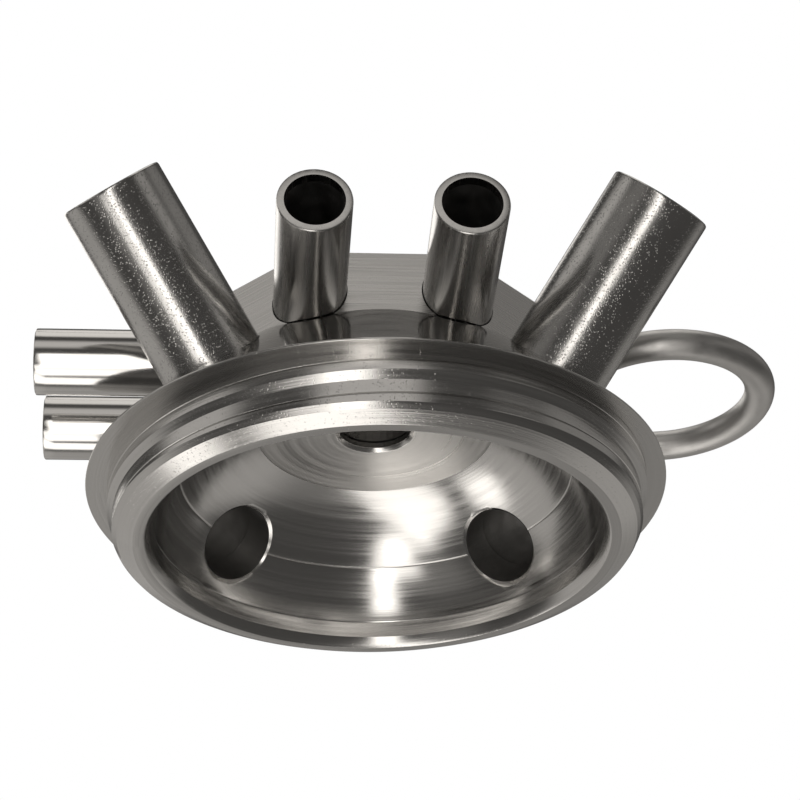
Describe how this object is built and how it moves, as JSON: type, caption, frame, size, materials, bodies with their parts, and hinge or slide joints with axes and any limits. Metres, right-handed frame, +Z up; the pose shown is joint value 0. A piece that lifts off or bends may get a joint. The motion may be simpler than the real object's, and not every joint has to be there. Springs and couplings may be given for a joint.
{
  "type": "milking claw cover",
  "caption": "Steel top cover of a milking claw: domed inside with a threaded neck, angled milk inlets, straight pulse-air nipples and a wire hanging ring.",
  "frame": {"origin": "middle of the bounding box in X and Y, on the plane of the neck's lip", "axes": "+Z up along the turned cover's axis, away from the opening; the long nipples point to -X, the hanging ring to +X; the short nipples lie along Y"},
  "size_m": [0.1044, 0.0908, 0.0383],
  "materials": {
    "body_steel": "turned and polished, with fine concentric tool lines; milled flats on the block",
    "lid_steel": "fine brushed sheet",
    "inner_steel": "plain machined, hidden",
    "inlet_steel": "satin, finely speckled",
    "nipple_steel": "smooth drawn tube",
    "ring_steel": "matt, bead-blasted wire"
  },
  "bodies": {
    "root": {"cover_body": "body_steel", "distributor_lid": "lid_steel", "distributor_partition": "inner_steel", "centre_guide": "inner_steel", "hanging_ring": "ring_steel", "milk_inlet_front_left": "inlet_steel", "milk_inlet_front_right": "inlet_steel", "milk_inlet_back_left": "inlet_steel", "milk_inlet_back_right": "inlet_steel", "short_nipple_front_left": "nipple_steel", "short_nipple_front_right": "nipple_steel", "long_nipple_front": "nipple_steel", "short_nipple_back_left": "nipple_steel", "short_nipple_back_right": "nipple_steel", "long_nipple_back": "nipple_steel"}
  },
  "joints": []
}
